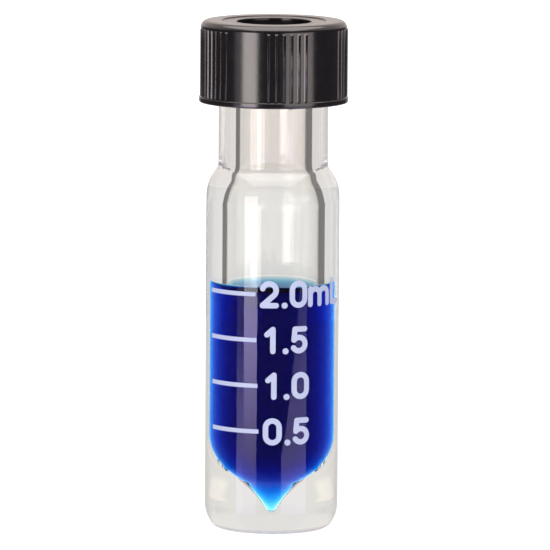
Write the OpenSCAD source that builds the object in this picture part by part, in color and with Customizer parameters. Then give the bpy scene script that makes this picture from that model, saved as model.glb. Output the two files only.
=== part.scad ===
// Glass sample vial: a heavy-walled, screw-necked glass vial with a cone drawn
// into its thick floor, a fired-on volume scale, an open-top screw cap, the
// septum that the cap clamps on the rim, and the liquid sample inside.
//
// The origin is the centre of the foot, +Z is up, and the front is -Y.
// All sizes are in millimetres, and all turns round the axis in degrees.

/* [Glass vial] */
// Outside diameter of the body
body_d = 15.7; // [14:0.1:19]
// Outside diameter of the neck, below and between the threads
neck_d = 12.9; // [11.5:0.1:13.5]
// Thickness of the glass wall of the body
wall = 2.42; // [1.6:0.02:2.8]
// Thickness of the glass wall of the neck
neck_wall = 2.57; // [1.7:0.01:2.9]
// Height of the rim above the foot
glass_h = 57.25; // [50:0.25:80]
// Length of the straight neck, rim to shoulder
neck_len = 14.1; // [12:0.1:20]
// Height of the outer shoulder between neck and body
shoulder_h = 3.8; // [3.4:0.1:7]
// Share of the outer shoulder's two rounds that its crown takes
shoulder_crown = 0.82; // [0.5:0.01:0.9]
// Height of the inner shoulder
inner_shoulder_h = 5; // [4:0.1:6]
// How far the inner shoulder starts below the outer one
inner_shoulder_drop = 1.05; // [0.4:0.05:1.6]
// How far the flat foot lies in from the side of the body
foot_inset = 1.8; // [1.6:0.05:2.6]
// Radius of the small round at the foot's edge
foot_round = 1.3; // [0.8:0.05:1.5]
// Radius of the rounds at the rim
rim_round = 0.45; // [0.2:0.05:0.8]

/* [Conical floor] */
// Thickness of the glass under the tip of the cone
floor_t = 2.05; // [1.2:0.05:5]
// Full angle of the cone
cone_angle = 44; // [30:1:60]
// Length of the cone's straight side
cone_len = 0.2; // [0.1:0.1:1]
// Radius at the cone's tip
tip_round = 0.45; // [0.25:0.05:0.7]
// Radius where the cone flares out
flare_round = 7.5; // [6.5:0.1:9]
// Radius of the bowl between the flare and the bore
bowl_round = 6.5; // [5.5:0.1:8]

/* [Screw thread] */
// Rise of the thread in one turn (12 turns to the inch)
pitch = 2.117; // [2:0.001:2.4]
// Height of the glass thread over the neck
thread_h = 0.75; // [0.5:0.05:0.8]
// Width of a thread at its foot
thread_root = 1.3; // [1.1:0.05:1.35]
// Width of a thread at its crest
thread_crest = 0.55; // [0.4:0.05:0.7]
// Turns of thread on the neck and in the cap
thread_turns = 1.6; // [1.2:0.1:2]
// Distance from the rim down to the top of the glass thread
thread_drop = 1.4; // [1:0.1:1.8]
// Distance from the cap's bottom edge up to its thread
thread_lead = 0.5; // [0.4:0.05:0.8]
// Clearance between a crest and the wall across from it
thread_gap = 0.25; // [0.2:0.01:0.35]

/* [Screw cap] */
// Height of the cap
cap_h = 9.6; // [9:0.1:11.5]
// Thickness of the cap's skirt between the ribs
cap_wall = 1.13; // [0.8:0.01:1.6]
// Thickness of the cap's top plate
plate_t = 1.3; // [1:0.05:2]
// Diameter of the open hole in the top plate
hole_d = 8.8; // [6:0.1:9.6]
// Radius of the round between the cap's top and side
cap_round = 0.76; // [0.4:0.02:0.9]
// Width of the raised ring round the top, outside the shallow recess
ring_w = 2.42; // [1.6:0.02:3]
// Depth of the shallow recess in the top
recess_t = 0.12; // [0.05:0.01:0.3]
// Height of the smooth band at the bottom edge
band_h = 0.65; // [0.4:0.05:1.2]
// How far the smooth band stands out
band_out = 0.18; // [0.12:0.01:0.3]
// Radius of one rib's round back
rib_round = 0.3; // [0.24:0.02:0.4]
// How far the ribs stand out
rib_out = 0.12; // [0.06:0.01:0.16]
// Places for ribs, evenly round the cap
rib_places = 60; // [48:1:64]
// Ribs left out at each smooth finger panel
panel_skip = 5; // [3:1:6]
// Turn of the first smooth panel from the front, and the pattern's start
panel_from = -22; // [-60:1:60]

/* [Septum and sample] */
// Thickness of the septum
septum_t = 1.5; // [1:0.1:3]
// Gap between the septum's edge and the cap
septum_gap = 0.15; // [0.1:0.01:0.4]
// Volume of the sample in millilitres, up to its flat surface
sample_ml = 2; // [0.6:0.05:2.4]
// How far the surface climbs where it meets the glass
meniscus_h = 1; // [0.4:0.05:1.4]
// Clearance between the sample and the glass
sample_gap = 0.03; // [0.02:0.01:0.1]

/* [Volume scale] */
// Step between the marks in millilitres
mark_step = 0.5; // [0.5:0.1:0.6]
// How far the marks are printed above the exact levels
mark_lift = 0.35; // [0:0.05:0.6]
// Thickness of a mark's line
line_t = 0.5; // [0.3:0.05:0.7]
// Turn of the marks' left ends from the front
line_from = -64; // [-80:1:-40]
// Turn of the marks' right ends from the front
line_to = -14.5; // [-30:0.5:-12]
// Width of the pen stroke in the figures
pen = 0.64; // [0.4:0.02:0.7]
// Height of the figures
figure_h = 3.22; // [2.4:0.02:3.6]
// Thickness of the fired ink
ink_t = 0.05; // [0.04:0.01:0.1]
// Height of the ink's back above the glass
ink_lift = 0.01; // [0.01:0.01:0.04]
// How far the print creeps round the body per millimetre of height
print_lean = 0.2; // [-0.4:0.05:0.4]

/* [Hidden] */
$fn = 96;

// The front of the vial lies on -Y
front = 270;
// Straight steps along a round of a profile, and along one turn of a thread
arc_steps = 12;
thread_steps = 36;
// How far a thread is rooted in its wall
sink = 0.3;

// Radii of the glass
body_r = body_d / 2;
bore_r = body_r - wall;
neck_r = neck_d / 2;
neck_bore_r = neck_r - neck_wall;
foot_r = body_r - foot_inset;

// Heights of the glass
neck_z = glass_h - neck_len;
shoulder_z = neck_z - shoulder_h;
inner_shoulder_z = shoulder_z - inner_shoulder_drop;
inner_shoulder_top = inner_shoulder_z + inner_shoulder_h;

// The corner of the foot: a small round, and a large one from foot_turn up
foot_turn = 35;
side_round = (foot_inset - foot_round * cos(foot_turn)) / (1 - cos(foot_turn));
side_z = foot_round * (1 - sin(foot_turn)) + side_round * sin(foot_turn);

// The conical floor, tip to bore: a round tip, a straight cone, a flare that
// opens out, and a bowl that closes to the upright bore
half_cone = cone_angle / 2;
cone_r0 = tip_round * cos(half_cone);
cone_z0 = floor_t + tip_round * (1 - sin(half_cone));
cone_r1 = cone_r0 + cone_len * sin(half_cone);
cone_z1 = cone_z0 + cone_len * cos(half_cone);
// Slope from upright where the flare meets the bowl
bowl_turn = acos((cone_r1 + flare_round * cos(half_cone) + bowl_round - bore_r) / (flare_round + bowl_round));
flare_z = cone_z1 + flare_round * (sin(bowl_turn) - sin(half_cone));
bowl_z = flare_z + bowl_round * sin(bowl_turn);

// The cap sits on the septum, and the septum on the rim
thread_r = neck_r + thread_h;
cap_in_r = thread_r + thread_gap;
cap_r = cap_in_r + cap_wall;
plate_z = glass_h + septum_t;
cap_top = plate_z + plate_t;
cap_z = cap_top - cap_h;
ring_r = cap_r - ring_w;
septum_r = cap_in_r - septum_gap;
rib_top = cap_top - cap_round - recess_t;
// Chamfer of the band's lower edge
band_edge = 0.1;

// Middle of each thread where it starts, and the turn that sets the cap's half a
// pitch from the neck's
neck_thread_z = glass_h - thread_drop - thread_root / 2 - thread_turns * pitch;
cap_thread_z = cap_z + thread_lead + thread_root / 2;
cap_thread_from = 360 * ((cap_thread_z - neck_thread_z) / pitch + 0.5);

// The smooth panels, as turns on from the first one
panel_turns = [0, 66, 138, 210, 282];

// The scale's print surface
ink_r0 = body_r + ink_lift;
ink_r1 = ink_r0 + ink_t;
pen_r = pen / 2;
// Centre line of a figure: half its height and half its width
fig_y = (figure_h - pen) / 2;
fig_x = 0.8;
// Places of a number's two figures and point, from the front, along the surface
figure_1 = -0.35;
figure_point = 1.45;
figure_2 = 3.16;
unit_m = 6.1;
unit_l = 9.1;

// Points of a round from turn a to turn b about the centre c
function arc(c, r, a, b) =
    [for (i = [0 : arc_steps]) let (t = a + (b - a) * i / arc_steps) c + r * [cos(t), sin(t)]];

// An S-shaped step up a profile, upright at both ends, whose first round has
// share s of the two radii
function s_step(r0, z0, r1, z1, s) =
    let (
        turn = 2 * atan(abs(r1 - r0) / (z1 - z0)),
        round_sum = (z1 - z0) / sin(turn),
        ra = round_sum * s,
        rb = round_sum - ra,
        side = r1 < r0 ? 1 : -1
    )
    concat(
        [for (p = arc([0, 0], ra, 0, turn)) [r0 - side * (ra - p[0]), z0 + p[1]]],
        [for (p = arc([0, 0], rb, turn, 0)) [r1 + side * (rb - p[0]), z1 - p[1]]]
    );

// Inside of the glass from the tip of the cone up to the bore, grown by g inwards
function floor_profile(g = 0) = concat(
    arc([0, floor_t + tip_round], tip_round - g, -90, -half_cone),
    arc([cone_r1 + flare_round * cos(half_cone), cone_z1 - flare_round * sin(half_cone)],
        flare_round + g, 180 - half_cone, 180 - bowl_turn),
    arc([bore_r - bowl_round, bowl_z], bowl_round - g, -bowl_turn, 0)
);

// Volume under a profile in cubic millimetres, as a stack of cone slices
function volume(p, i = 1) = i >= len(p) ? 0 :
    PI / 3 * (p[i][1] - p[i - 1][1]) * (p[i][0] ^ 2 + p[i][0] * p[i - 1][0] + p[i - 1][0] ^ 2)
    + volume(p, i + 1);

// Height at which the bore holds a volume in millilitres
function level(ml) = bowl_z + (1000 * ml - volume(floor_profile())) / (PI * bore_r ^ 2);

sample_z = level(sample_ml);
// Distance over which the climb at the glass dies away
meniscus_w = 0.8;

// Height of the sample's surface at radius r: flat in the middle, up at the glass
function surface_z(r) = sample_z + meniscus_h * exp((r - bore_r) / meniscus_w);

// A helical ridge on the wall r0 with its crest at r1, right-handed from the
// height z at a turn from the front, which rises out of the wall and dies back
module thread(r0, r1, z, from = 0) {
    n = round(thread_turns * thread_steps);
    side = sign(r1 - r0);
    fade = thread_steps / 6;
    slope = (thread_root - thread_crest) / abs(r1 - r0);
    foot_w = thread_root + sink * slope;
    foot_of = r0 - side * sink;
    points = [for (i = [0 : n])
        let (
            turn = front + from + 360 * thread_turns * i / n,
            mid = z + thread_turns * pitch * i / n,
            f = min(1, i / fade, (n - i) / fade),
            crest_r = (r0 - side * sink / 3) * (1 - f) + r1 * f,
            crest_w = foot_w - slope * abs(crest_r - foot_of)
        )
        for (q = [[foot_of, -foot_w], [crest_r, -crest_w], [crest_r, crest_w], [foot_of, foot_w]])
            [q[0] * cos(turn), q[0] * sin(turn), mid + q[1] / 2]];
    sides = [for (i = [0 : n - 1]) for (k = [0 : 3])
        let (
            a = 4 * i + k,
            b = 4 * i + (k + 1) % 4,
            ring = side > 0 ? [a, b, b + 4, a + 4] : [a + 4, b + 4, b, a]
        )
        for (t = [[ring[0], ring[1], ring[2]], [ring[0], ring[2], ring[3]]]) t];
    last = 4 * n;
    ends = side > 0
        ? [[3, 2, 1, 0], [last, last + 1, last + 2, last + 3]]
        : [[0, 1, 2, 3], [last + 3, last + 2, last + 1, last]];
    polyhedron(points, concat(sides, ends), convexity = 6);
}

// The glass in one piece: foot, body, shoulder, threaded neck and conical floor
module glass_vial() {
    outside = concat(
        [[0, 0]],
        arc([foot_r, foot_round], foot_round, -90, -foot_turn),
        arc([body_r - side_round, side_z], side_round, -foot_turn, 0),
        s_step(body_r, shoulder_z, neck_r, neck_z, shoulder_crown),
        arc([neck_r - rim_round, glass_h - rim_round], rim_round, 0, 90)
    );
    inside = concat(
        arc([neck_bore_r + rim_round, glass_h - rim_round], rim_round, 90, 180),
        [for (p = s_step(neck_bore_r, 0, bore_r, inner_shoulder_h, 0.5)) [p[0], inner_shoulder_top - p[1]]],
        [for (i = [len(floor_profile()) - 1 : -1 : 0]) floor_profile()[i]]
    );
    color("azure", 0.35) {
        rotate_extrude() polygon(concat(outside, inside));
        thread(neck_r, thread_r, neck_thread_z);
    }
}

// The sample that fills the cone and the bore, with its climbing edge
module sample_liquid() {
    r = bore_r - sample_gap;
    top = [for (i = [arc_steps : -1 : 0]) let (x = r * (1 - (1 - i / arc_steps) ^ 2)) [x, surface_z(x)]];
    color("mediumblue") rotate_extrude() polygon(concat(floor_profile(sample_gap), top));
}

// A straight pen stroke from a to b with round ends
module stroke(a, b) {
    turn = atan2(b[1] - a[1], b[0] - a[0]);
    polygon(concat(arc(b, pen_r, turn - 90, turn + 90), arc(a, pen_r, turn + 90, turn + 270)));
}

// A curved pen stroke about c from turn a on to turn b, with round ends, which
// may first run up straight from the point start
module curve(c, r, a, b, start = undef) {
    from = is_undef(start) ? c + r * [cos(a), sin(a)] : start;
    polygon(concat(
        arc(c, r + pen_r, a, b),
        arc(c + r * [cos(b), sin(b)], pen_r, b, b + 180),
        arc(c, r - pen_r, b, a),
        arc(from, pen_r, a + 180, a + 360)
    ));
}

// An upright slot shape, the round of the figure nought at radius r
module slot(r) {
    polygon(concat(arc([0, fig_y - fig_x], r, 0, 180), arc([0, fig_x - fig_y], r, 180, 360)));
}

module figure_zero() {
    difference() {
        slot(fig_x + pen_r);
        slot(fig_x - pen_r);
    }
}

module figure_one() {
    stroke([0.3, -fig_y], [0.3, fig_y]);
    stroke([0.3, fig_y], [-0.4, fig_y - 0.62]);
}

module figure_two() {
    curve([0, fig_y - fig_x], fig_x, -38, 165);
    stroke([fig_x * cos(38), fig_y - fig_x * (1 + sin(38))], [-fig_x, -fig_y]);
    stroke([-fig_x, -fig_y], [fig_x, -fig_y]);
}

module figure_five() {
    stroke([-0.58, fig_y], [0.65, fig_y]);
    stroke([-0.58, fig_y], [-0.7, fig_x * 1.75 - fig_y]);
    curve([-0.08, fig_x - fig_y], fig_x, -148, 141);
}

module letter_m() {
    span = 1.38;
    top = 0.5;
    stroke([-span, -fig_y], [-span, top]);
    for (x = [0, span]) curve([x - span / 2, top - span / 2], span / 2, 0, 150, [x, -fig_y]);
}

module letter_l() {
    stroke([-0.7, -fig_y], [-0.7, fig_y]);
    stroke([-0.7, -fig_y], [0.7, -fig_y]);
}

// Stands flat figures on the body, x along the surface from the front at height z
module on_body(x, z) {
    rotate([0, 0, front + x / body_r * 180 / PI + lean(z)])
        translate([bore_r, 0, z])
            rotate([90, 0, 90]) linear_extrude(wall + 1) children();
}

// Height of mark k of the scale
function mark_z(k) = level(k * mark_step) + mark_lift;

// How far the print has crept round at height z, from the top mark down
function lean(z) = print_lean * (mark_z(4) - z);

// One number, mark k of the scale, with its point
module number(k) {
    z = mark_z(k);
    on_body(figure_1, z) {
        if (k == 1) figure_zero();
        if (k == 2 || k == 3) figure_one();
        if (k == 4) figure_two();
    }
    on_body(figure_point, z) translate([0, -fig_y]) circle(pen_r * 1.12);
    on_body(figure_2, z) {
        if (k % 2 == 0) figure_zero();
        if (k % 2 == 1) figure_five();
    }
}

// The fired white print: a line at each volume, its number, and the unit at the top
module volume_scale() {
    color("ghostwhite") {
        for (k = [1 : 4]) {
            z = mark_z(k);
            translate([0, 0, z - line_t / 2])
                rotate_extrude(angle = line_to - line_from, start = front + line_from + lean(z))
                    translate([ink_r0, 0]) square([ink_t, line_t]);
        }
        intersection() {
            union() {
                for (k = [1 : 4]) number(k);
                on_body(unit_m, mark_z(4)) letter_m();
                on_body(unit_l, mark_z(4)) letter_l();
            }
            rotate_extrude() translate([ink_r0, 0]) square([ink_t, shoulder_z]);
        }
    }
}

// The septum, a soft disc between the rim and the cap's top plate
module septum() {
    color("ivory") translate([0, 0, glass_h]) cylinder(r = septum_r, h = septum_t);
}

// True where place i of the rib pattern falls in a smooth panel
function in_panel(i) =
    let (
        turn = i * 360 / rib_places,
        half = panel_skip * 180 / rib_places
    )
    len([for (p = panel_turns) if (abs((turn - p + 540) % 360 - 180) < half) p]) > 0;

// The cap: a skirt with ribs and smooth panels, a band, a top plate with its
// open hole, and the thread inside
module screw_cap() {
    core_r = cap_r - cap_wall / 4;
    wall_mid = cap_r - cap_wall / 2;
    band_r = cap_r + band_out;
    profile = concat(
        [[cap_in_r, cap_z], [band_r - band_edge, cap_z], [band_r, cap_z + band_edge]],
        [[band_r, cap_z + band_h], [core_r, cap_z + band_h]],
        [[core_r, rib_top], [cap_r, rib_top]],
        arc([cap_r - cap_round, cap_top - cap_round], cap_round, 0, 90),
        [[ring_r, cap_top], [ring_r, cap_top - recess_t], [hole_d / 2, cap_top - recess_t]],
        [[hole_d / 2, plate_z], [cap_in_r, plate_z]]
    );
    color("#1c1c1e") {
        rotate_extrude() polygon(profile);
        translate([0, 0, cap_z + band_h]) linear_extrude(rib_top - cap_z - band_h) difference() {
            union() {
                circle(cap_r);
                for (i = [0 : rib_places - 1])
                    if (!in_panel(i)) {
                        turn = front + panel_from + i * 360 / rib_places;
                        translate((cap_r + rib_out - rib_round) * [cos(turn), sin(turn)]) circle(rib_round, $fn = 24);
                    }
            }
            circle(wall_mid);
        }
        thread(cap_in_r, neck_r + thread_gap, cap_thread_z, cap_thread_from);
    }
}

glass_vial();
sample_liquid();
volume_scale();
septum();
screw_cap();
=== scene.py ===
import math

import bpy
from mathutils import Matrix, Vector


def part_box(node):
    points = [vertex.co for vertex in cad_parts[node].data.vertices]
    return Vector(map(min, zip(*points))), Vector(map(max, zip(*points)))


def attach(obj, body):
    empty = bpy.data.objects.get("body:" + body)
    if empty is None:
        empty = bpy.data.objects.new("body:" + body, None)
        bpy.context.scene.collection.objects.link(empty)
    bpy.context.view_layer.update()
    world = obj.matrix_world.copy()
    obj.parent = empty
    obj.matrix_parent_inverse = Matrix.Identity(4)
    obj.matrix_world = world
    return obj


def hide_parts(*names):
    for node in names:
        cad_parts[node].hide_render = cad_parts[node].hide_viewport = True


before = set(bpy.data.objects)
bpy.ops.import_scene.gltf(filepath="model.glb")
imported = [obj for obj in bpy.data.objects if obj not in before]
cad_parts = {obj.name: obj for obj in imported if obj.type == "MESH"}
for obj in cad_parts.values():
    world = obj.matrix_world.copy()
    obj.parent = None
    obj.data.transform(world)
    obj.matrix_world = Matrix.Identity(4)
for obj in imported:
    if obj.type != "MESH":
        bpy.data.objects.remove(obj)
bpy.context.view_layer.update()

# Profiles are drawn in millimetres: r out from the vial's axis, z up from its
# foot. The front of the vial is -Y.
MM = 0.001
TURN_STEPS = 360
MERGE = 1e-7
FULL_TURN = 360

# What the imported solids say, in millimetres
glass_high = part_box("glass_vial")[1]
septum_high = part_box("septum")[1]
cap_low, cap_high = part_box("screw_cap")
BODY_R = glass_high.x / MM
RIM_Z = glass_high.z / MM
SEPTUM_R = septum_high.x / MM
PLATE_Z = septum_high.z / MM
CAP_Z = cap_low.z / MM
CAP_TOP = cap_high.z / MM

# Glass
WALL = 2.42
WETTED_ABOVE = 1.5
WETTED_REACH = 0.3
SCUFF_H = 0.6
NECK_R = 6.45
NECK_WALL = 2.57
NECK_Z = 43.15
SHOULDER_CROWN = 0.82
SHOULDER_Z = 39.35
INNER_SHOULDER_Z = 38.3
INNER_SHOULDER_H = 5.0
FOOT_INSET = 1.8
FOOT_ROUND = 1.3
FOOT_TURN = 35
RIM_ROUND = 0.45
BORE_R = BODY_R - WALL
NECK_BORE_R = NECK_R - NECK_WALL

# Conical floor
FLOOR_T = 2.05
TIP_ROUND = 0.45
HALF_CONE = 22
CONE_LEN = 0.2
FLARE_ROUND = 7.5
BOWL_ROUND = 6.5

# Screw thread
PITCH = 2.117
THREAD_TURNS = 1.6
THREAD_H = 0.75
THREAD_ROOT = 1.3
THREAD_CREST = 0.55
THREAD_SINK = 0.3
THREAD_GAP = 0.25
THREAD_ROUND = 0.16
THREAD_CLEAR = 0.02
THREAD_STEPS = 72
THREAD_FADE = 12
THREAD_START = 270
RIM_TO_THREAD = 1.4
SKIRT_TO_THREAD = 0.5
NECK_THREAD_Z = RIM_Z - RIM_TO_THREAD - THREAD_ROOT / 2 - THREAD_TURNS * PITCH
CAP_THREAD_Z = CAP_Z + SKIRT_TO_THREAD + THREAD_ROOT / 2

# Cap
BAND_R = cap_high.x / MM
BAND_H = 0.65
BAND_OUT = 0.18
RING_W = 2.42
RECESS_LEAN = 0.04
CAP_R = BAND_R - BAND_OUT
CAP_IN_R = NECK_R + THREAD_H + THREAD_GAP
CAP_ROUND = 0.76
RING_R = CAP_R - RING_W
HOLE_R = 4.4
RECESS = 0.12
RIB_TOP = CAP_TOP - CAP_ROUND - RECESS
RIB_PITCH = 6
RIB_HALF = 1.5
RIB_MARGIN = 2
SKIRT_SKIN = 0.05
RIB_LIFTS = ((0.06, 0.06), (0.05, 0.04), (0.03, 0.02))
FIRST_RIB = -22
PANEL_HALF = 15
PANELS = (0, 66, 138, 210, 282)

# Septum
SEPTUM_ROUND = 0.15

# Sample
SAMPLE_Z = 28.241
MENISCUS_H = 1.0
MENISCUS_W = 0.8
SKIN_T = 0.01
SAMPLE_GAP = 0.005
SURFACE_RINGS = 40

# How strongly each clear material bends light
GLASS_IOR = 1.473
SAMPLE_IOR = 1.355
DYE = (0.0, 0.632, 0.859, 1)
DYE_DENSITY = 2300.0
# Painted shade: the glass colour is multiplied by this from the shoulder up to the neck
NECK_PAINTED_SHADE = (0.959, 0.933, 0.923)
# Rays that have met more surfaces than this count as plain white
LAST_TURN = 8.5
BOUNCES = 40
END_WHITE = (0.86, 0.85, 0.83, 1)


# ---------------------------------------------------------------- profiles

def arc(centre, radius, start, end, steps=14):
    """Points of a round, from one angle to another in degrees."""
    turns = [math.radians(start + (end - start) * i / steps) for i in range(steps + 1)]
    return [(centre[0] + radius * math.cos(t), centre[1] + radius * math.sin(t)) for t in turns]


def s_step(low, high, share, steps=14):
    """An S-shaped step between two upright walls; the first round takes that share of the radii."""
    (r0, z0), (r1, z1) = low, high
    turn = 2 * math.atan(abs(r1 - r0) / (z1 - z0))
    rounds = (z1 - z0) / math.sin(turn)
    first, second = rounds * share, rounds * (1 - share)
    side = 1 if r1 < r0 else -1
    turned = math.degrees(turn)
    lower = [(r0 - side * (first - x), z0 + y) for x, y in arc((0, 0), first, 0, turned, steps)]
    upper = [(r1 + side * (second - x), z1 - y) for x, y in arc((0, 0), second, turned, 0, steps)]
    return lower + upper[1:]


def fillet(before, corner, after, radius, steps=5):
    """Points of the round that softens one corner of a profile."""
    c = Vector(corner)
    u, v = (Vector(before) - c).normalized(), (Vector(after) - c).normalized()
    half = u.angle(v) / 2
    centre = c + (u + v).normalized() * (radius / math.sin(half))
    start = c + u * (radius / math.tan(half)) - centre
    sweep = start.angle_signed(c + v * (radius / math.tan(half)) - centre)
    points = [centre + Matrix.Rotation(-sweep * i / steps, 2) @ start for i in range(steps + 1)]
    return [tuple(p) for p in points]


def softened(corners, closed=True):
    """A profile from (r, z, round) corners."""
    points = []
    for i, (r, z, radius) in enumerate(corners):
        if radius and (closed or 0 < i < len(corners) - 1):
            before, after = corners[i - 1], corners[(i + 1) % len(corners)]
            points += fillet(before[:2], (r, z), after[:2], radius)
        else:
            points.append((r, z))
    return points + points[:1] if closed else points


def held(points, reach=0.08):
    """The same profile with a close ring at each end of its long straights, which keeps them flat."""
    out = [points[0]]
    for a, b in zip(points, points[1:]):
        length = math.dist(a, b)
        if length > 8 * reach:
            for t in (reach / length, 1 - reach / length):
                out.append((a[0] + (b[0] - a[0]) * t, a[1] + (b[1] - a[1]) * t))
        out.append(b)
    return out


def floor_profile(inset=0.0):
    """Inside of the glass from the cone's tip up to the upright bore, grown inwards."""
    tip_z = FLOOR_T + TIP_ROUND
    slope = math.radians(HALF_CONE)
    cone_r = TIP_ROUND * math.cos(slope) + CONE_LEN * math.sin(slope)
    flare_r = cone_r + FLARE_ROUND * math.cos(slope)
    cone_z = tip_z - TIP_ROUND * math.sin(slope) + CONE_LEN * math.cos(slope)
    reach = FLARE_ROUND + BOWL_ROUND
    bowl_turn = math.acos((flare_r + BOWL_ROUND - BORE_R) / reach)
    flare_z = cone_z - FLARE_ROUND * math.sin(slope)
    bowl_z = flare_z + reach * math.sin(bowl_turn)
    turned = math.degrees(bowl_turn)
    return (
        arc((0, tip_z), TIP_ROUND - inset, -90, -HALF_CONE, 18)
        + arc((flare_r, flare_z), FLARE_ROUND + inset, 180 - HALF_CONE, 180 - turned, 30)
        + arc((BORE_R - BOWL_ROUND, bowl_z), BOWL_ROUND - inset, -turned, 0, 54)[1:]
    )


def glass_profile():
    """Half section of the glass, from the middle of the foot round to the tip of the cone."""
    foot_r = BODY_R - FOOT_INSET
    cos_turn, sin_turn = math.cos(math.radians(FOOT_TURN)), math.sin(math.radians(FOOT_TURN))
    side_round = (FOOT_INSET - FOOT_ROUND * cos_turn) / (1 - cos_turn)
    side_z = FOOT_ROUND * (1 - sin_turn) + side_round * sin_turn
    inner_top = INNER_SHOULDER_Z + INNER_SHOULDER_H
    outside = (
        [(0, 0)]
        + arc((foot_r, FOOT_ROUND), FOOT_ROUND, -90, -FOOT_TURN)
        + arc((BODY_R - side_round, side_z), side_round, -FOOT_TURN, 0)[1:]
        + s_step((BODY_R, SHOULDER_Z), (NECK_R, NECK_Z), SHOULDER_CROWN, 24)
        + arc((NECK_R - RIM_ROUND, RIM_Z - RIM_ROUND), RIM_ROUND, 0, 90)
    )
    inner_step = s_step((NECK_BORE_R, 0), (BORE_R, INNER_SHOULDER_H), 0.5)
    inside = (
        arc((NECK_BORE_R + RIM_ROUND, RIM_Z - RIM_ROUND), RIM_ROUND, 90, 180)
        + [(r, inner_top - z) for r, z in inner_step]
        + [(BORE_R, SAMPLE_Z + MENISCUS_H)]
        + floor_profile()[::-1]
    )
    return held(outside + inside)


def surface_profile(lower=0.0):
    """The liquid's surface from the wall, where it climbs, to the axis."""
    edge = BORE_R - SAMPLE_GAP
    rings = [edge * (1 - (i / SURFACE_RINGS) ** 2) for i in range(SURFACE_RINGS + 1)]
    level = SAMPLE_Z - lower
    return [(r, level + MENISCUS_H * math.exp((r - edge) / MENISCUS_W)) for r in rings]


def sample_profile():
    """Half section of the liquid under its skin, a hair inside the glass."""
    surface = surface_profile(SKIN_T)
    return held(floor_profile(SAMPLE_GAP) + surface[:1]) + surface[1:]


def skin_profile():
    """Half section of the skin, where the light bends into the liquid."""
    return surface_profile(SKIN_T / 2)[::-1] + surface_profile()


def cap_profile():
    """Closed half section of the cap without its ribs and thread."""
    return softened([
        (CAP_IN_R, CAP_Z, 0.12),
        (BAND_R, CAP_Z, 0.14),
        (BAND_R, CAP_Z + BAND_H, 0.08),
        (CAP_R, CAP_Z + BAND_H, 0.05),
        (CAP_R, RIB_TOP, 0),
        (CAP_R, CAP_TOP, CAP_ROUND),
        (RING_R, CAP_TOP, 0.05),
        (RING_R - RECESS_LEAN, CAP_TOP - RECESS, 0.04),
        (HOLE_R, CAP_TOP - RECESS, 0.08),
        (HOLE_R, PLATE_Z, 0.05),
        (CAP_IN_R, PLATE_Z, 0),
    ])


# ---------------------------------------------------------------- modelling

def clear_selection():
    """Leaves nothing selected."""
    bpy.ops.object.select_all(action="DESELECT")


def draw(name, points, turn=0.0):
    """Draws a profile as a run of edges at that turn about the axis, and stays in edit mode."""
    clear_selection()
    side = (math.cos(math.radians(turn)) * MM, math.sin(math.radians(turn)) * MM)
    places = [Vector((r * side[0], r * side[1], z * MM)) for r, z in points]
    bpy.ops.mesh.primitive_plane_add(size=MM)
    piece = bpy.context.object
    piece.name = piece.data.name = name
    bpy.ops.object.mode_set(mode="EDIT")
    bpy.ops.mesh.select_mode(type="VERT")
    bpy.ops.mesh.merge(type="CENTER")
    bpy.ops.transform.translate(value=places[0])
    for a, b in zip(places, places[1:]):
        bpy.ops.mesh.extrude_vertices_move(TRANSFORM_OT_translate={"value": b - a})
    return piece


def clean(piece):
    """Merges doubles and turns every face outwards."""
    bpy.context.view_layer.objects.active = piece
    bpy.ops.object.mode_set(mode="EDIT")
    bpy.ops.mesh.select_all(action="SELECT")
    bpy.ops.mesh.remove_doubles(threshold=MERGE)
    bpy.ops.mesh.normals_make_consistent(inside=False)
    bpy.ops.object.mode_set(mode="OBJECT")


def wind(piece, turns, steps, rise=0.0):
    """Sweeps the drawn profile round the axis, with a rise for a thread."""
    bpy.ops.object.mode_set(mode="OBJECT")
    screw = piece.modifiers.new("wind", "SCREW")
    screw.axis = "Z"
    screw.angle = 2 * math.pi * turns
    screw.screw_offset = rise * MM
    screw.steps = screw.render_steps = steps
    screw.use_merge_vertices = False
    bpy.context.view_layer.objects.active = piece
    bpy.ops.object.modifier_apply(modifier=screw.name)


def turned(name, points, turn=0.0):
    """A turned piece: the profile spun once round the axis."""
    piece = draw(name, points, turn)
    wind(piece, 1, TURN_STEPS)
    clean(piece)
    return piece


def select_where(piece, kind, test):
    """In edit mode, selects just the vertices or faces that pass a test."""
    bpy.ops.mesh.select_all(action="DESELECT")
    bpy.ops.mesh.select_mode(type="VERT" if kind == "vertices" else "FACE")
    bpy.ops.object.mode_set(mode="OBJECT")
    for item in getattr(piece.data, kind):
        item.select = test(item)
    bpy.ops.object.mode_set(mode="EDIT")


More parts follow.
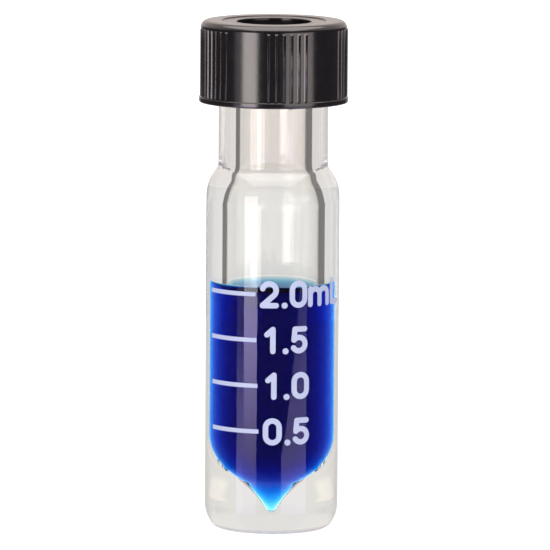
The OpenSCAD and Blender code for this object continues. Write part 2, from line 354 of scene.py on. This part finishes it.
def ridge(name, wall_r, crest_r, mid_z, turn):
    """A helical ridge rooted in a wall, which rises out of the wall and dies back into it."""
    side = 1 if crest_r > wall_r else -1
    foot_r = wall_r - side * THREAD_SINK
    slope = (THREAD_ROOT - THREAD_CREST) / abs(crest_r - wall_r)
    foot = (THREAD_ROOT + THREAD_SINK * slope) / 2
    crest = THREAD_CREST / 2
    section = softened([
        (foot_r, mid_z - foot, 0),
        (crest_r, mid_z - crest, THREAD_ROUND),
        (crest_r, mid_z + crest, THREAD_ROUND),
        (foot_r, mid_z + foot, 0),
    ])
    steps = round(THREAD_TURNS * THREAD_STEPS)
    piece = draw(name, section, turn)
    wind(piece, THREAD_TURNS, steps, THREAD_TURNS * PITCH)
    ring = len(section)
    hidden_r = wall_r - side * THREAD_SINK / 3
    bpy.ops.object.mode_set(mode="EDIT")
    for end in range(THREAD_FADE):
        share = end / THREAD_FADE
        scale = (hidden_r * (1 - share) + crest_r * share) / crest_r
        for row in (end, steps - end):
            rows = range(row * ring, row * ring + ring)
            select_where(
                piece, "vertices",
                lambda v: v.index in rows and side * (v.co.xy.length / MM - hidden_r) > THREAD_CLEAR)
            bpy.ops.transform.resize(value=(scale, scale, 1), center_override=(0, 0, 0))
    bpy.ops.mesh.select_all(action="SELECT")
    bpy.ops.mesh.remove_doubles(threshold=MERGE)
    bpy.ops.mesh.fill_holes(sides=0)
    bpy.ops.object.mode_set(mode="OBJECT")
    clean(piece)
    return piece


def unite(piece, other):
    """Joins another closed piece to this one as a single solid."""
    union = piece.modifiers.new("unite", "BOOLEAN")
    union.operation = "UNION"
    union.solver = "EXACT"
    union.object = other
    clear_selection()
    bpy.context.view_layer.objects.active = piece
    bpy.ops.object.modifier_apply(modifier=union.name)
    bpy.data.objects.remove(other)


def join(piece, other):
    """Makes another shell part of this piece."""
    clear_selection()
    other.select_set(True)
    piece.select_set(True)
    bpy.context.view_layer.objects.active = piece
    bpy.ops.object.join()


def smooth(piece, crease=40):
    """Smooth shading, but for edges sharper than the crease angle."""
    clear_selection()
    piece.select_set(True)
    bpy.context.view_layer.objects.active = piece
    bpy.ops.object.shade_smooth_by_angle(angle=math.radians(crease))


def paint(piece, slot, test):
    """Gives the faces that pass a test the piece's other material."""
    bpy.context.view_layer.objects.active = piece
    bpy.ops.object.mode_set(mode="EDIT")
    select_where(piece, "polygons", test)
    piece.active_material_index = slot
    bpy.ops.object.material_slot_assign()
    bpy.ops.object.mode_set(mode="OBJECT")


def from_front(point):
    """Turn of a point about the axis, in degrees from the front of the vial."""
    return math.degrees(math.atan2(point.x, -point.y))


# ---------------------------------------------------------------- materials

def node(tree, kind, inputs=None, **settings):
    """Adds a node; an input is a plain value or another node's socket."""
    made = tree.nodes.new(kind)
    for key, value in settings.items():
        setattr(made, key, value)
    for key, value in (inputs or {}).items():
        if isinstance(value, bpy.types.NodeSocket):
            tree.links.new(value, made.inputs[key])
        else:
            made.inputs[key].default_value = value
    return made


def group(name, inputs, outputs):
    """An empty shader group with named sockets; returns the tree, its inputs and its output node."""
    tree = bpy.data.node_groups.new(name, "ShaderNodeTree")
    for label, kind, value in inputs:
        socket = tree.interface.new_socket(label, in_out="INPUT", socket_type=kind)
        socket.default_value = value
    for label, kind in outputs:
        tree.interface.new_socket(label, in_out="OUTPUT", socket_type=kind)
    return tree, tree.nodes.new("NodeGroupInput").outputs, tree.nodes.new("NodeGroupOutput")


FINE_SHARE = 0.35


def mottle_group():
    """Soft and fine mottling of a surface: a tone from 0 to 1, and a height for a bump."""
    sizes = (("Broad", 400.0), ("Fine", 6000.0), ("Stretch", 1.0))
    tree, given, out = group(
        "mottle",
        [(label, "NodeSocketFloat", value) for label, value in sizes],
        [("Tone", "NodeSocketFloat"), ("Height", "NodeSocketFloat")],
    )
    place = node(tree, "ShaderNodeTexCoord").outputs["Object"]
    x, y, z = node(tree, "ShaderNodeSeparateXYZ", {0: place}).outputs
    drawn = node(tree, "ShaderNodeMath", {0: z, 1: given["Stretch"]}, operation="MULTIPLY").outputs[0]
    spot = node(tree, "ShaderNodeCombineXYZ", {"X": x, "Y": y, "Z": drawn}).outputs[0]
    broad, fine = (
        node(tree, "ShaderNodeTexNoise", {"Vector": spot, "Scale": size, "Detail": detail}).outputs["Fac"]
        for size, detail in ((given["Broad"], 3.0), (given["Fine"], 2.0))
    )
    both = node(tree, "ShaderNodeMix", {"Factor": FINE_SHARE, "A": broad, "B": fine})
    tree.links.new(both.outputs[0], out.inputs["Tone"])
    tree.links.new(fine, out.inputs["Height"])
    return tree


MOTTLE = mottle_group()


def material(name):
    """An empty node material: the material, its tree and its output."""
    made = bpy.data.materials.new(name)
    made.use_nodes = True
    made.node_tree.nodes.clear()
    return made, made.node_tree, made.node_tree.nodes.new("ShaderNodeOutputMaterial")


def mottled(tree, broad, fine, stretch=1.0):
    """The mottle group placed in a material with its own sizes."""
    made = node(tree, "ShaderNodeGroup", node_tree=MOTTLE)
    for label, value in (("Broad", broad), ("Fine", fine), ("Stretch", stretch)):
        made.inputs[label].default_value = value
    return made.outputs


def between(tree, tone, low, high):
    """A value that runs from low to high with the tone."""
    limits = {"Value": tone, "From Min": 0.3, "From Max": 0.7, "To Min": low, "To Max": high}
    return node(tree, "ShaderNodeMapRange", limits).outputs[0]


def blend(tree, factor, low, high, kind="MIX"):
    """A mix of two colours, each of them plain or another node's socket."""
    made = node(tree, "ShaderNodeMix", {"Factor": factor}, data_type="RGBA", blend_type=kind)
    for socket, value in zip([s for s in made.inputs if s.type == "RGBA"], (low, high)):
        if isinstance(value, bpy.types.NodeSocket):
            tree.links.new(value, socket)
        else:
            socket.default_value = (*value, 1)
    return [s for s in made.outputs if s.type == "RGBA"][0]


def mottled_color(tree, noise, low, high):
    """A colour that runs from low to high with the mottling."""
    return blend(tree, between(tree, noise["Tone"], 0.0, 1.0), low, high)


def ramp(tree, value, low, high):
    """A soft step from 0 to 1 between two values."""
    limits = {"Value": value, "From Min": low, "From Max": high}
    return node(tree, "ShaderNodeMapRange", limits, interpolation_type="SMOOTHSTEP").outputs[0]


def span(tree, value, limits):
    """1 between two values with soft ends: the four limits are where each end starts and stops."""
    return math_node(tree, "SUBTRACT", ramp(tree, value, *limits[:2]), ramp(tree, value, *limits[2:]))


def math_node(tree, operation, *values):
    """A sum of plain values or sockets."""
    return node(tree, "ShaderNodeMath", dict(enumerate(values)), operation=operation).outputs[0]


def bump(tree, height, strength, distance):
    """The fine unevenness of a surface."""
    relief = {"Height": height, "Strength": strength, "Distance": distance}
    return node(tree, "ShaderNodeBump", relief).outputs[0]


def surface(tree, color, roughness, ior, clear=0.0, normal=None):
    """The surface shader, from matt to clear."""
    looks = {"Base Color": color, "Roughness": roughness, "IOR": ior, "Transmission Weight": clear}
    if normal:
        looks["Normal"] = normal
    return node(tree, "ShaderNodeBsdfPrincipled", looks).outputs[0]


def opaque(name, grain, tones, roughness, ior, relief):
    """A finish with mottled colour, an uneven sheen and a fine relief."""
    made, tree, out = material(name)
    noise = mottled(tree, *grain)
    tone = mottled_color(tree, noise, *tones)
    sheen = between(tree, noise["Tone"], *roughness)
    shader = surface(tree, tone, sheen, ior, normal=bump(tree, noise["Height"], *relief))
    tree.links.new(shader, out.inputs["Surface"])
    return made


def lit_ends(tree, out, shader):
    """Light that has run round inside the glass for very long counts as plain white."""
    depth = node(tree, "ShaderNodeLightPath").outputs["Ray Depth"]
    late = math_node(tree, "GREATER_THAN", depth, LAST_TURN)
    white = node(tree, "ShaderNodeEmission", {"Color": END_WHITE})
    mixed = node(tree, "ShaderNodeMixShader", {0: late, 1: shader, 2: white.outputs[0]})
    tree.links.new(mixed.outputs[0], out.inputs["Surface"])


def clear_glass(name, ior, dark, light):
    """Drawn glass with painted shade at the neck, warmer and darker from the shoulder up; its bend is
    told by what lies on the other side.
    """
    made, tree, out = material(name)
    noise = mottled(tree, 260.0, 900.0, 0.12)
    place = node(tree, "ShaderNodeTexCoord").outputs["Object"]
    height = node(tree, "ShaderNodeSeparateXYZ", {0: place}).outputs["Z"]
    # Painted shade: warmer and darker glass from the shoulder up to the neck
    neck = ramp(tree, height, SHOULDER_Z * MM, NECK_Z * MM)
    tone = blend(tree, neck, mottled_color(tree, noise, dark, light), NECK_PAINTED_SHADE, "MULTIPLY")
    shader = surface(tree, tone, 0.0, ior, 1.0, bump(tree, noise["Height"], 0.05, 0.02 * MM))
    lit_ends(tree, out, shader)
    return made


def scuffed_glass():
    """The ring that the vial stands on, dulled by wear."""
    made, tree, out = material("scuffed_glass")
    noise = mottled(tree, 900.0, 6000.0)
    tone = mottled_color(tree, noise, (0.78, 0.76, 0.73), (0.88, 0.87, 0.85))
    shader = surface(tree, tone, between(tree, noise["Tone"], 0.45, 0.25), GLASS_IOR, 0.4)
    tree.links.new(shader, out.inputs["Surface"])
    return made


def sample_clear(name, ior):
    """The liquid's clearness; its own skin bends the light, and the rest only lets it through."""
    made, tree, out = material(name)
    noise = mottled(tree, 200.0, 700.0)
    tone = mottled_color(tree, noise, (0.96, 0.98, 1.0), (1.0, 1.0, 1.0))
    tree.links.new(surface(tree, tone, 0.0, ior, 1.0), out.inputs["Surface"])
    return made


def dyed(made):
    """Adds the blue dye, which takes up red and green first."""
    tree = made.node_tree
    out = tree.nodes["Material Output"]
    dye = node(tree, "ShaderNodeVolumeAbsorption", {"Color": DYE, "Density": DYE_DENSITY})
    tree.links.new(dye.outputs[0], out.inputs["Volume"])
    return made


def fired_ink():
    """White ceramic ink, slightly uneven, with a soft sheen."""
    tones = ((0.574, 0.64, 0.855), (0.66, 0.728, 0.90))
    return opaque("fired_ink", (900.0, 9000.0), tones, (0.55, 0.4), 1.5, (0.3, 0.02 * MM))


def satin_black():
    """Black moulded plastic with a satin skin."""
    tones = ((0.003, 0.003, 0.0035), (0.007, 0.0065, 0.0065))
    return opaque("satin_black", (700.0, 14000.0), tones, (0.14, 0.19), 1.68, (0.25, 0.01 * MM))


def silicone():
    """Dark silicone of the septum, dull and faintly dusty."""
    tones = ((0.020, 0.020, 0.022), (0.034, 0.033, 0.034))
    return opaque("silicone", (500.0, 8000.0), tones, (0.6, 0.75), 1.43, (0.3, 0.02 * MM))


# ---------------------------------------------------------------- the pieces

def claim(piece, body, node_name):
    """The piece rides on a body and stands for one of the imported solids."""
    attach(piece, body)
    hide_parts(node_name)


def dress(piece, *finishes):
    """Gives a piece its materials, in slot order."""
    for finish in finishes:
        piece.data.materials.append(finish)


def make_glass():
    """The vial in one piece of glass, with the thread round its neck."""
    piece = turned("vial_glass", glass_profile())
    unite(piece, ridge("neck_thread", NECK_R, NECK_R + THREAD_H, NECK_THREAD_Z, THREAD_START))
    smooth(piece)
    wetted_ior = GLASS_IOR / SAMPLE_IOR
    dress(
        piece,
        clear_glass("clear_glass", GLASS_IOR, (0.90, 0.895, 0.875), (0.93, 0.925, 0.91)),
        clear_glass("wetted_glass", wetted_ior, (0.97, 0.97, 0.98), (1, 1, 1)),
        scuffed_glass(),
    )
    stands_r = (BODY_R - FOOT_INSET) * MM
    paint(piece, 2, lambda f: f.center.z < SCUFF_H * MM and f.center.xy.length > stands_r)
    low, high = WETTED_ABOVE * MM, (SAMPLE_Z + MENISCUS_H) * MM
    wet = (BORE_R + WETTED_REACH) * MM
    paint(piece, 1, lambda f: low < f.center.z < high and f.center.xy.length < wet)
    claim(piece, "vial", "glass_vial")


def make_sample():
    """The liquid, with its own surface at the top."""
    piece = turned("blue_sample", sample_profile())
    under = len(piece.data.polygons)
    join(piece, turned("sample_skin", skin_profile()))
    smooth(piece, 60)
    dress(
        piece,
        dyed(sample_clear("blue_sample", 1.0)),
        sample_clear("sample_surface", SAMPLE_IOR),
        sample_clear("under_surface", 1.0),
    )
    paint(piece, 1, lambda f: f.index >= under and f.normal.z > 0)
    paint(piece, 2, lambda f: f.index >= under and f.normal.z <= 0)
    claim(piece, "vial", "sample_liquid")


def make_septum():
    """The soft disc under the cap, a little rounded at its edge."""
    piece = turned("septum_disc", softened([
        (0, RIM_Z, 0),
        (SEPTUM_R, RIM_Z, SEPTUM_ROUND),
        (SEPTUM_R, PLATE_Z, SEPTUM_ROUND),
        (0, PLATE_Z, 0),
    ], closed=False))
    smooth(piece)
    dress(piece, silicone())
    claim(piece, "septum", "septum")


def on_rib(face):
    """True for the faces of the skirt that stand where a rib does."""
    z = face.center.z / MM
    upright = CAP_Z + RIB_MARGIN < z < CAP_TOP - RIB_MARGIN
    if not upright or face.center.xy.length / MM < CAP_R - SKIRT_SKIN:
        return False
    turn = from_front(face.center) - FIRST_RIB
    place = round(turn / RIB_PITCH) * RIB_PITCH
    half = FULL_TURN / 2
    smooth_here = any(abs((place - p + half) % FULL_TURN - half) < PANEL_HALF for p in PANELS)
    return abs(turn - place) < RIB_HALF and not smooth_here


def make_cap():
    """The screw cap: skirt with ribs and smooth panels, band, top plate with its hole, and thread."""
    piece = turned("screw_cap_moulding", cap_profile(), 0.5)
    bpy.context.view_layer.objects.active = piece
    bpy.ops.object.mode_set(mode="EDIT")
    select_where(piece, "polygons", on_rib)
    for width, rise in RIB_LIFTS:
        bpy.ops.mesh.inset(thickness=width * MM, depth=rise * MM)
    bpy.ops.object.mode_set(mode="OBJECT")
    half_pitch_on = FULL_TURN * ((CAP_THREAD_Z - NECK_THREAD_Z) / PITCH + 0.5)
    start = THREAD_START + half_pitch_on
    unite(piece, ridge("cap_thread", CAP_IN_R, NECK_R + THREAD_GAP, CAP_THREAD_Z, start))
    smooth(piece)
    dress(piece, satin_black())
    claim(piece, "cap", "screw_cap")


def finish_print():
    """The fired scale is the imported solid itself, in ceramic ink."""
    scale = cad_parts["volume_scale"]
    scale.data.materials.clear()
    scale.data.materials.append(fired_ink())


# ---------------------------------------------------------------- the studio

# Turns are in degrees, and heights, sizes and distances in metres. A span has
# four limits: where its first end starts and stops, and where its last one does.
NEAR_FLOOR = 0.1
NEAR_FADE = 0.01
NEAR_WHITE = (0.86, 0.845, 0.82)
# Painted light: a warm glow on the floor either side of the foot, and where it lies
WARM_LIGHT_POOL = (1.03, 0.99, 0.92)
LIGHT_POOL_AWAY = (0.017, 0.023, 0.033, 0.041)
LIGHT_POOL_TURNS = (18.0, 24.0, 38.0, 46.0)
RIGHT_FLAG = (41.0, 43.0, 74.0, 80.0)
LEFT_FLAG = (-70.0, -66.0, -50.0, -48.0)
SHADED_TURNS = (16.0, 22.0, 40.0, 41.0)
FLAG_TOP = (0.45, 0.55)
MET_BORE = 3.5
SIX_SKINS = 6.0
BOOST = 2.0
SIDE_BOOST = 1.3
BOOST_TURNS = (12.0, 26.0)
HORIZON = (-0.08, 0.04)
GLOSS_FLOOR = (-0.45, -0.25)
ROOM_TURNS = (18.0, 30.0)
OPENS_UPWARDS = 200.0
FLOOR_R = 1.5
FLOOR_Z = -0.02 * MM
FLOOR_GLOW = 0.86
CARD_R = 0.05
CARD_H = 0.018
CARD_MID_Z = 0.0089
TOP_LIGHT_PLACE = (0, -0.12, 0.45)
TOP_LIGHT_WIDTH = 0.7
TOP_LIGHT_RADIANCE = 3.0
EDGE_FADE = 2.0
CAMERA_PITCH = 7.35
CAMERA_REACH = 0.9
CAMERA_ROLL = 0.35
AIM = (0.3 * MM, 29.9 * MM)
PLAIN_WHITE = (1, 1, 1)
WARM = (1.0, 0.92, 0.89)
CLEAR_LIGHT = (1.0, 0.98, 0.97)
COOL_LIGHT = (1.0, 0.86, 1.45)
COOL_Z = -0.052
COOL_FADE = 0.005
BOX_SPLIT = -0.035
SPLIT_FADE = -0.015
DIM_Z = -0.0563
NO_EDGE = -60
STAGE_SIDES = 96


def turn_node(tree, across, along):
    """Turn about the vial's axis in degrees, from the way that along points."""
    return math_node(tree, "MULTIPLY", math_node(tree, "ARCTAN2", across, along), 180 / math.pi)


def aside_of(tree, place):
    """How far a place lies from straight behind the vial, in degrees."""
    spot = node(tree, "ShaderNodeSeparateXYZ", {0: place}).outputs
    return math_node(tree, "ABSOLUTE", turn_node(tree, spot["X"], spot["Y"]))


def behind_sample(tree, aside):
    """Strength of what stands behind: more for light that crossed the sample, which has six skins."""
    crossed = node(tree, "ShaderNodeLightPath").outputs["Transmission Depth"]
    boost = math_node(tree, "MULTIPLY_ADD", ramp(tree, aside, *BOOST_TURNS), SIDE_BOOST, BOOST)
    through_sample = math_node(tree, "COMPARE", crossed, SIX_SKINS, 0.5)
    return math_node(tree, "MULTIPLY_ADD", through_sample, boost, 1.0)


def seen_through(tree, turn, height, rays):
    """What clear glass shows: white, with dark flags for light that also met the bore."""
    flags = math_node(tree, "ADD", span(tree, turn, LEFT_FLAG), span(tree, turn, RIGHT_FLAG))
    low = math_node(tree, "SUBTRACT", 1.0, ramp(tree, height, *FLAG_TOP))
    met_bore = math_node(tree, "GREATER_THAN", rays["Ray Depth"], MET_BORE)
    flags = math_node(tree, "MULTIPLY", flags, math_node(tree, "MULTIPLY", low, met_bore))
    white = blend(tree, span(tree, turn, SHADED_TURNS), (0.87, 0.865, 0.86), (0.81, 0.815, 0.80))
    return blend(tree, flags, white, (0.2, 0.19, 0.185))


def seen_in_gloss(tree, aside, height):
    """What reflections show: a white that opens upwards, a dim room in front and a pale floor."""
    above = math_node(tree, "MAXIMUM", height, 0.0)
    open_side = math_node(tree, "MULTIPLY_ADD", above, -OPENS_UPWARDS, aside)
    behind = blend(tree, ramp(tree, height, *HORIZON), (0.5, 0.46, 0.44), (0.92, 0.81, 0.77))
    room = blend(tree, ramp(tree, open_side, *ROOM_TURNS), behind, (0.115, 0.09, 0.11))
    return blend(tree, ramp(tree, height, *GLOSS_FLOOR), (0.85, 0.8, 0.77), room)


def make_world():
    """The surroundings, which differ for light that is reflected, shines through or is seen."""
    world = bpy.data.worlds.new("studio")
    bpy.context.scene.world = world
    world.use_nodes = True
    tree = world.node_tree
    tree.nodes.clear()
    way = node(tree, "ShaderNodeTexCoord").outputs["Generated"]
    parts = node(tree, "ShaderNodeSeparateXYZ", {0: way}).outputs
    turn = turn_node(tree, parts["X"], parts["Y"])
    aside = math_node(tree, "ABSOLUTE", turn)
    rays = node(tree, "ShaderNodeLightPath").outputs
    gloss = seen_in_gloss(tree, aside, parts["Z"])
    through = seen_through(tree, turn, parts["Z"], rays)
    color = blend(tree, rays["Is Glossy Ray"], (0.62, 0.63, 0.68), gloss)
    color = blend(tree, rays["Is Transmission Ray"], color, through)
    color = blend(tree, rays["Is Camera Ray"], color, PLAIN_WHITE)
    light = node(tree, "ShaderNodeBackground", {"Color": color, "Strength": behind_sample(tree, aside)})
    node(tree, "ShaderNodeOutputWorld", {"Surface": light.outputs[0]})


def hang_lamp(name, shape, size, radiance, color, place):
    """An area lamp that sends out the same radiance whatever its size."""
    lamp = bpy.data.lights.new(name, "AREA")
    lamp.shape = shape
    lamp.size, lamp.size_y = size
    lamp.energy = radiance * math.pi * size[0] * size[1]
    lamp.color = color
    piece = bpy.data.objects.new(name, lamp)
    bpy.context.scene.collection.objects.link(piece)
    piece.location = place
    piece.visible_camera = False
    return piece


def softbox(name, turns, radiance, low=-0.2, high=0.14, color=PLAIN_WHITE, reach=0.6):
    """An upright box that spans two turns from the camera's side; returns what scales its light."""
    mid = math.radians(sum(turns) / 2)
    width = 2 * reach * math.tan(math.radians(turns[1] - turns[0]) / 2)
    place = (reach * math.sin(mid), -reach * math.cos(mid), (low + high) / 2)
    piece = hang_lamp(name, "RECTANGLE", (width, high - low), radiance, color, place)
    piece.rotation_euler = (math.radians(90), 0, mid)
    piece.data.use_nodes = True
    return piece.data.node_tree


def make_top_light():
    """A square box overhead, seen only in reflections."""
    size = (TOP_LIGHT_WIDTH, TOP_LIGHT_WIDTH)
    piece = hang_lamp("top_light", "SQUARE", size, TOP_LIGHT_RADIANCE, WARM, TOP_LIGHT_PLACE)
    piece.visible_diffuse = piece.visible_transmission = False


def shade_box(tree, dim, from_z, to_z, lean=0, edge=NO_EDGE):
    """Dims a box from one height to another, cuts it along a leaning edge and cools its lowest part."""
    position = node(tree, "ShaderNodeNewGeometry").outputs["Position"]
    place = node(tree, "ShaderNodeSeparateXYZ", {0: position}).outputs
    turn = turn_node(tree, place["X"], math_node(tree, "MULTIPLY", place["Y"], -1.0))
    cut = math_node(tree, "MULTIPLY_ADD", place["Z"], -lean, turn)
    open_part = ramp(tree, cut, edge, edge + EDGE_FADE)
    limits = {"Value": place["Z"], "From Min": from_z, "From Max": to_z, "To Min": dim}
    fall = node(tree, "ShaderNodeMapRange", limits).outputs[0]
    low = ramp(tree, place["Z"], COOL_Z + COOL_FADE, COOL_Z - COOL_FADE)
    emission = tree.nodes["Emission"].inputs
    tree.links.new(blend(tree, low, CLEAR_LIGHT, COOL_LIGHT), emission["Color"])
    tree.links.new(math_node(tree, "MULTIPLY", open_part, fall), emission["Strength"])


def make_lamps():
    """Bright boxes to the left and soft ones to the right, each side split where its warm top starts."""
    bright, soft = (-49.5, -25.8), (-0.0563, -0.072)
    shade_box(softbox("left_bright", bright, 5.6, high=BOX_SPLIT), 0.22, -0.0863, DIM_Z)
    shade_box(softbox("left_high", bright, 5.6, low=BOX_SPLIT, color=WARM), 1.0, BOX_SPLIT, SPLIT_FADE)
    shade_box(softbox("left_soft", (-63, -49.5), 1.8), 0.33, *soft, edge=-70)
    shade_box(softbox("right_soft", (17, 62), 1.5, high=BOX_SPLIT), 0.5, *soft, lean=808, edge=87.5)
    shade_box(softbox("right_high", (17, 64), 2.2, low=BOX_SPLIT, color=WARM), 0.4, BOX_SPLIT, SPLIT_FADE)
    make_top_light()


def mix(tree, factor, first, second):
    """Two shaders mixed by a factor."""
    return node(tree, "ShaderNodeMixShader", {0: factor, 1: first, 2: second}).outputs[0]


def glow(tree, color, strength=1.0):
    """Plain light of a stage thing; the colour is plain or a socket."""
    made = node(tree, "ShaderNodeEmission", {"Strength": strength})
    if isinstance(color, bpy.types.NodeSocket):
        tree.links.new(color, made.inputs["Color"])
    else:
        made.inputs["Color"].default_value = (*color, 1)
    return made.outputs[0]


def make_floor():
    """A pale floor that fades into the white, with a painted pool of warm light either side of the foot,
    seen only through the glass.
    """
    clear_selection()
    bpy.ops.mesh.primitive_circle_add(
        vertices=STAGE_SIDES, radius=FLOOR_R, fill_type="NGON", location=(0, 0, FLOOR_Z))
    floor = bpy.context.object
    floor.name = "floor"
    bpy.ops.object.transform_apply(location=True)
    made, tree, out = material("pale_floor")
    rays = node(tree, "ShaderNodeLightPath").outputs
    base = node(tree, "ShaderNodeBsdfDiffuse", {"Color": (0.8, 0.8, 0.8, 1)}).outputs[0]
    lit = node(tree, "ShaderNodeAddShader", {0: base, 1: glow(tree, PLAIN_WHITE, FLOOR_GLOW)}).outputs[0]
    top = mix(tree, rays["Is Camera Ray"], base, lit)
    place = node(tree, "ShaderNodeTexCoord").outputs["Object"]
    away = node(tree, "ShaderNodeVectorMath", {0: place}, operation="LENGTH").outputs["Value"]
    aside = aside_of(tree, place)
    # Painted light: a warm glow on the floor beside the foot, seen only through the glass
    light_pool = math_node(tree, "MULTIPLY", span(tree, away, LIGHT_POOL_AWAY), span(tree, aside, LIGHT_POOL_TURNS))
    white = glow(tree, blend(tree, light_pool, NEAR_WHITE, WARM_LIGHT_POOL), behind_sample(tree, aside))
    clear = node(tree, "ShaderNodeBsdfTransparent").outputs[0]
    through = mix(tree, ramp(tree, away, NEAR_FLOOR - NEAR_FADE, NEAR_FLOOR), white, clear)
    tree.links.new(mix(tree, rays["Is Transmission Ray"], top, through), out.inputs["Surface"])
    dress(floor, made)
    floor.visible_glossy = False
    floor.visible_shadow = False


def make_card():
    """A low white card round the foot, seen only through the glass, which hides the flags there."""
    clear_selection()
    bpy.ops.mesh.primitive_cylinder_add(
        vertices=STAGE_SIDES, radius=CARD_R, depth=CARD_H, end_fill_type="NOTHING",
        location=(0, 0, CARD_MID_Z))
    card = bpy.context.object
    card.name = "card"
    bpy.ops.object.transform_apply(location=True)
    made, tree, out = material("white_card")
    aside = aside_of(tree, node(tree, "ShaderNodeTexCoord").outputs["Object"])
    white = glow(tree, NEAR_WHITE, behind_sample(tree, aside))
    clear = node(tree, "ShaderNodeBsdfTransparent").outputs[0]
    rays = node(tree, "ShaderNodeLightPath").outputs
    tree.links.new(mix(tree, rays["Is Transmission Ray"], clear, white), out.inputs["Surface"])
    dress(card, made)
    card.visible_camera = card.visible_glossy = card.visible_diffuse = card.visible_shadow = False


def make_camera():
    """A long lens in front of the vial, a little above it."""
    lens = bpy.data.cameras.new("camera")
    lens.lens = 500
    lens.sensor_width = 36
    lens.clip_start, lens.clip_end = 0.01, 20
    camera = bpy.data.objects.new("camera", lens)
    bpy.context.scene.collection.objects.link(camera)
    pitch = math.radians(CAMERA_PITCH)
    back = Vector((0, -math.cos(pitch), math.sin(pitch)))
    camera.location = Vector((AIM[0], 0, AIM[1])) + back * CAMERA_REACH
    aimed = (-back).to_track_quat("-Z", "Y").to_matrix().to_4x4()
    rolled = aimed @ Matrix.Rotation(math.radians(CAMERA_ROLL), 4, "Z")
    camera.rotation_euler = rolled.to_euler()
    bpy.context.scene.camera = camera


make_camera()
make_world()
make_lamps()
make_floor()
make_card()
make_glass()
make_sample()
finish_print()
make_septum()
make_cap()

bpy.context.scene.view_settings.view_transform = "Standard"
# Light runs a long way round inside clear glass before it leaves
cycles = bpy.context.scene.cycles
cycles.max_bounces = cycles.transmission_bounces = cycles.glossy_bounces = BOUNCES
